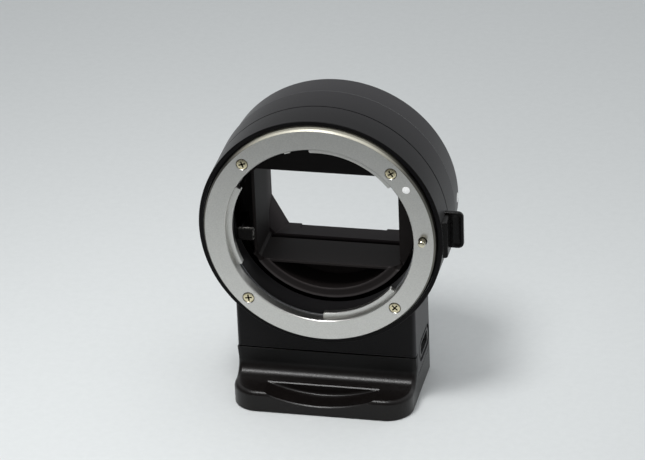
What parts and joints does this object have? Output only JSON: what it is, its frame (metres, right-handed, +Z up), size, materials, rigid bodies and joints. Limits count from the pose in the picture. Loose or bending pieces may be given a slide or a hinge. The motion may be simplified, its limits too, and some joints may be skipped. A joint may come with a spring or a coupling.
{
  "type": "lens mount adapter",
  "caption": "Short black barrel with a chromed lens bayonet in front and a camera bayonet behind, on a block with a forward-reaching tripod foot; release lever and aperture ring move",
  "frame": {"origin": "mouth of the tripod socket on the base face", "axes": "+Z up, -Y towards the lens, +X to the right seen from the lens side"},
  "size_m": [0.0652, 0.0406, 0.0771],
  "materials": {
    "anodised_black": "fine matte black anodised",
    "satin_chrome": "satin turned chrome",
    "brass_screw": "bright plated",
    "white_paint": "glossy white fill",
    "spring_steel": "bare spring steel",
    "pin_steel": "polished steel",
    "black_plastic": "satin moulded black",
    "baffle_plastic": "flat black moulded",
    "black_steel": "blackened steel",
    "brass_gear": "cut brass",
    "gold_contact": "gold plated",
    "foot_black": "satin black anodised",
    "bush_steel": "turned steel",
    "board_green": "solder mask",
    "socket_steel": "pressed sheet"
  },
  "bodies": {
    "housing": {"main_housing": "anodised_black", "front_flange": "satin_chrome", "front_flange_screws": "brass_screw", "front_index_dot": "white_paint", "bayonet_spring": "spring_steel", "release_spring": "spring_steel", "light_baffle": "baffle_plastic", "baffle_screws": "pin_steel", "rear_mask": "baffle_plastic", "aperture_motor": "pin_steel", "front_contact_block": "black_plastic", "front_contact_pins": "gold_contact", "rear_flange": "satin_chrome", "rear_flange_screws": "pin_steel", "rear_contact_block": "black_plastic", "rear_contact_pins": "gold_contact", "rear_index_dot": "white_paint", "foot_shoe": "foot_black", "foot_screws": "black_steel", "tripod_bush": "bush_steel", "circuit_board": "board_green", "socket_shell": "socket_steel", "socket_tongue": "black_plastic"},
    "release": {"release_lever": "black_plastic", "lock_pin": "pin_steel"},
    "aperture": {"aperture_ring": "black_steel"},
    "drive": {"motor_pinion": "brass_gear"}
  },
  "joints": [
    {"name": "release_slide", "type": "slide", "parent": "housing", "child": "release", "axis": [0, 1, 0], "range_m": [0, 0.0024], "stiffness_N_per_m": 600, "springref_m": -0.001, "deforming": ["release_spring"]},
    {"name": "aperture_turn", "type": "hinge", "parent": "housing", "child": "aperture", "pos_m": [0, 0, 0.0466], "axis": [0, 1, 0], "range_deg": [0, 15]},
    {"name": "pinion_spin", "type": "hinge", "parent": "housing", "child": "drive", "pos_m": [-0.01078, 0, 0.06971], "axis": [0, 1, 0], "range_deg": [-308, 2]}
  ],
  "couplings": [
    {"joint": "pinion_spin", "follows": "aperture_turn", "ratio": -20.25}
  ]
}
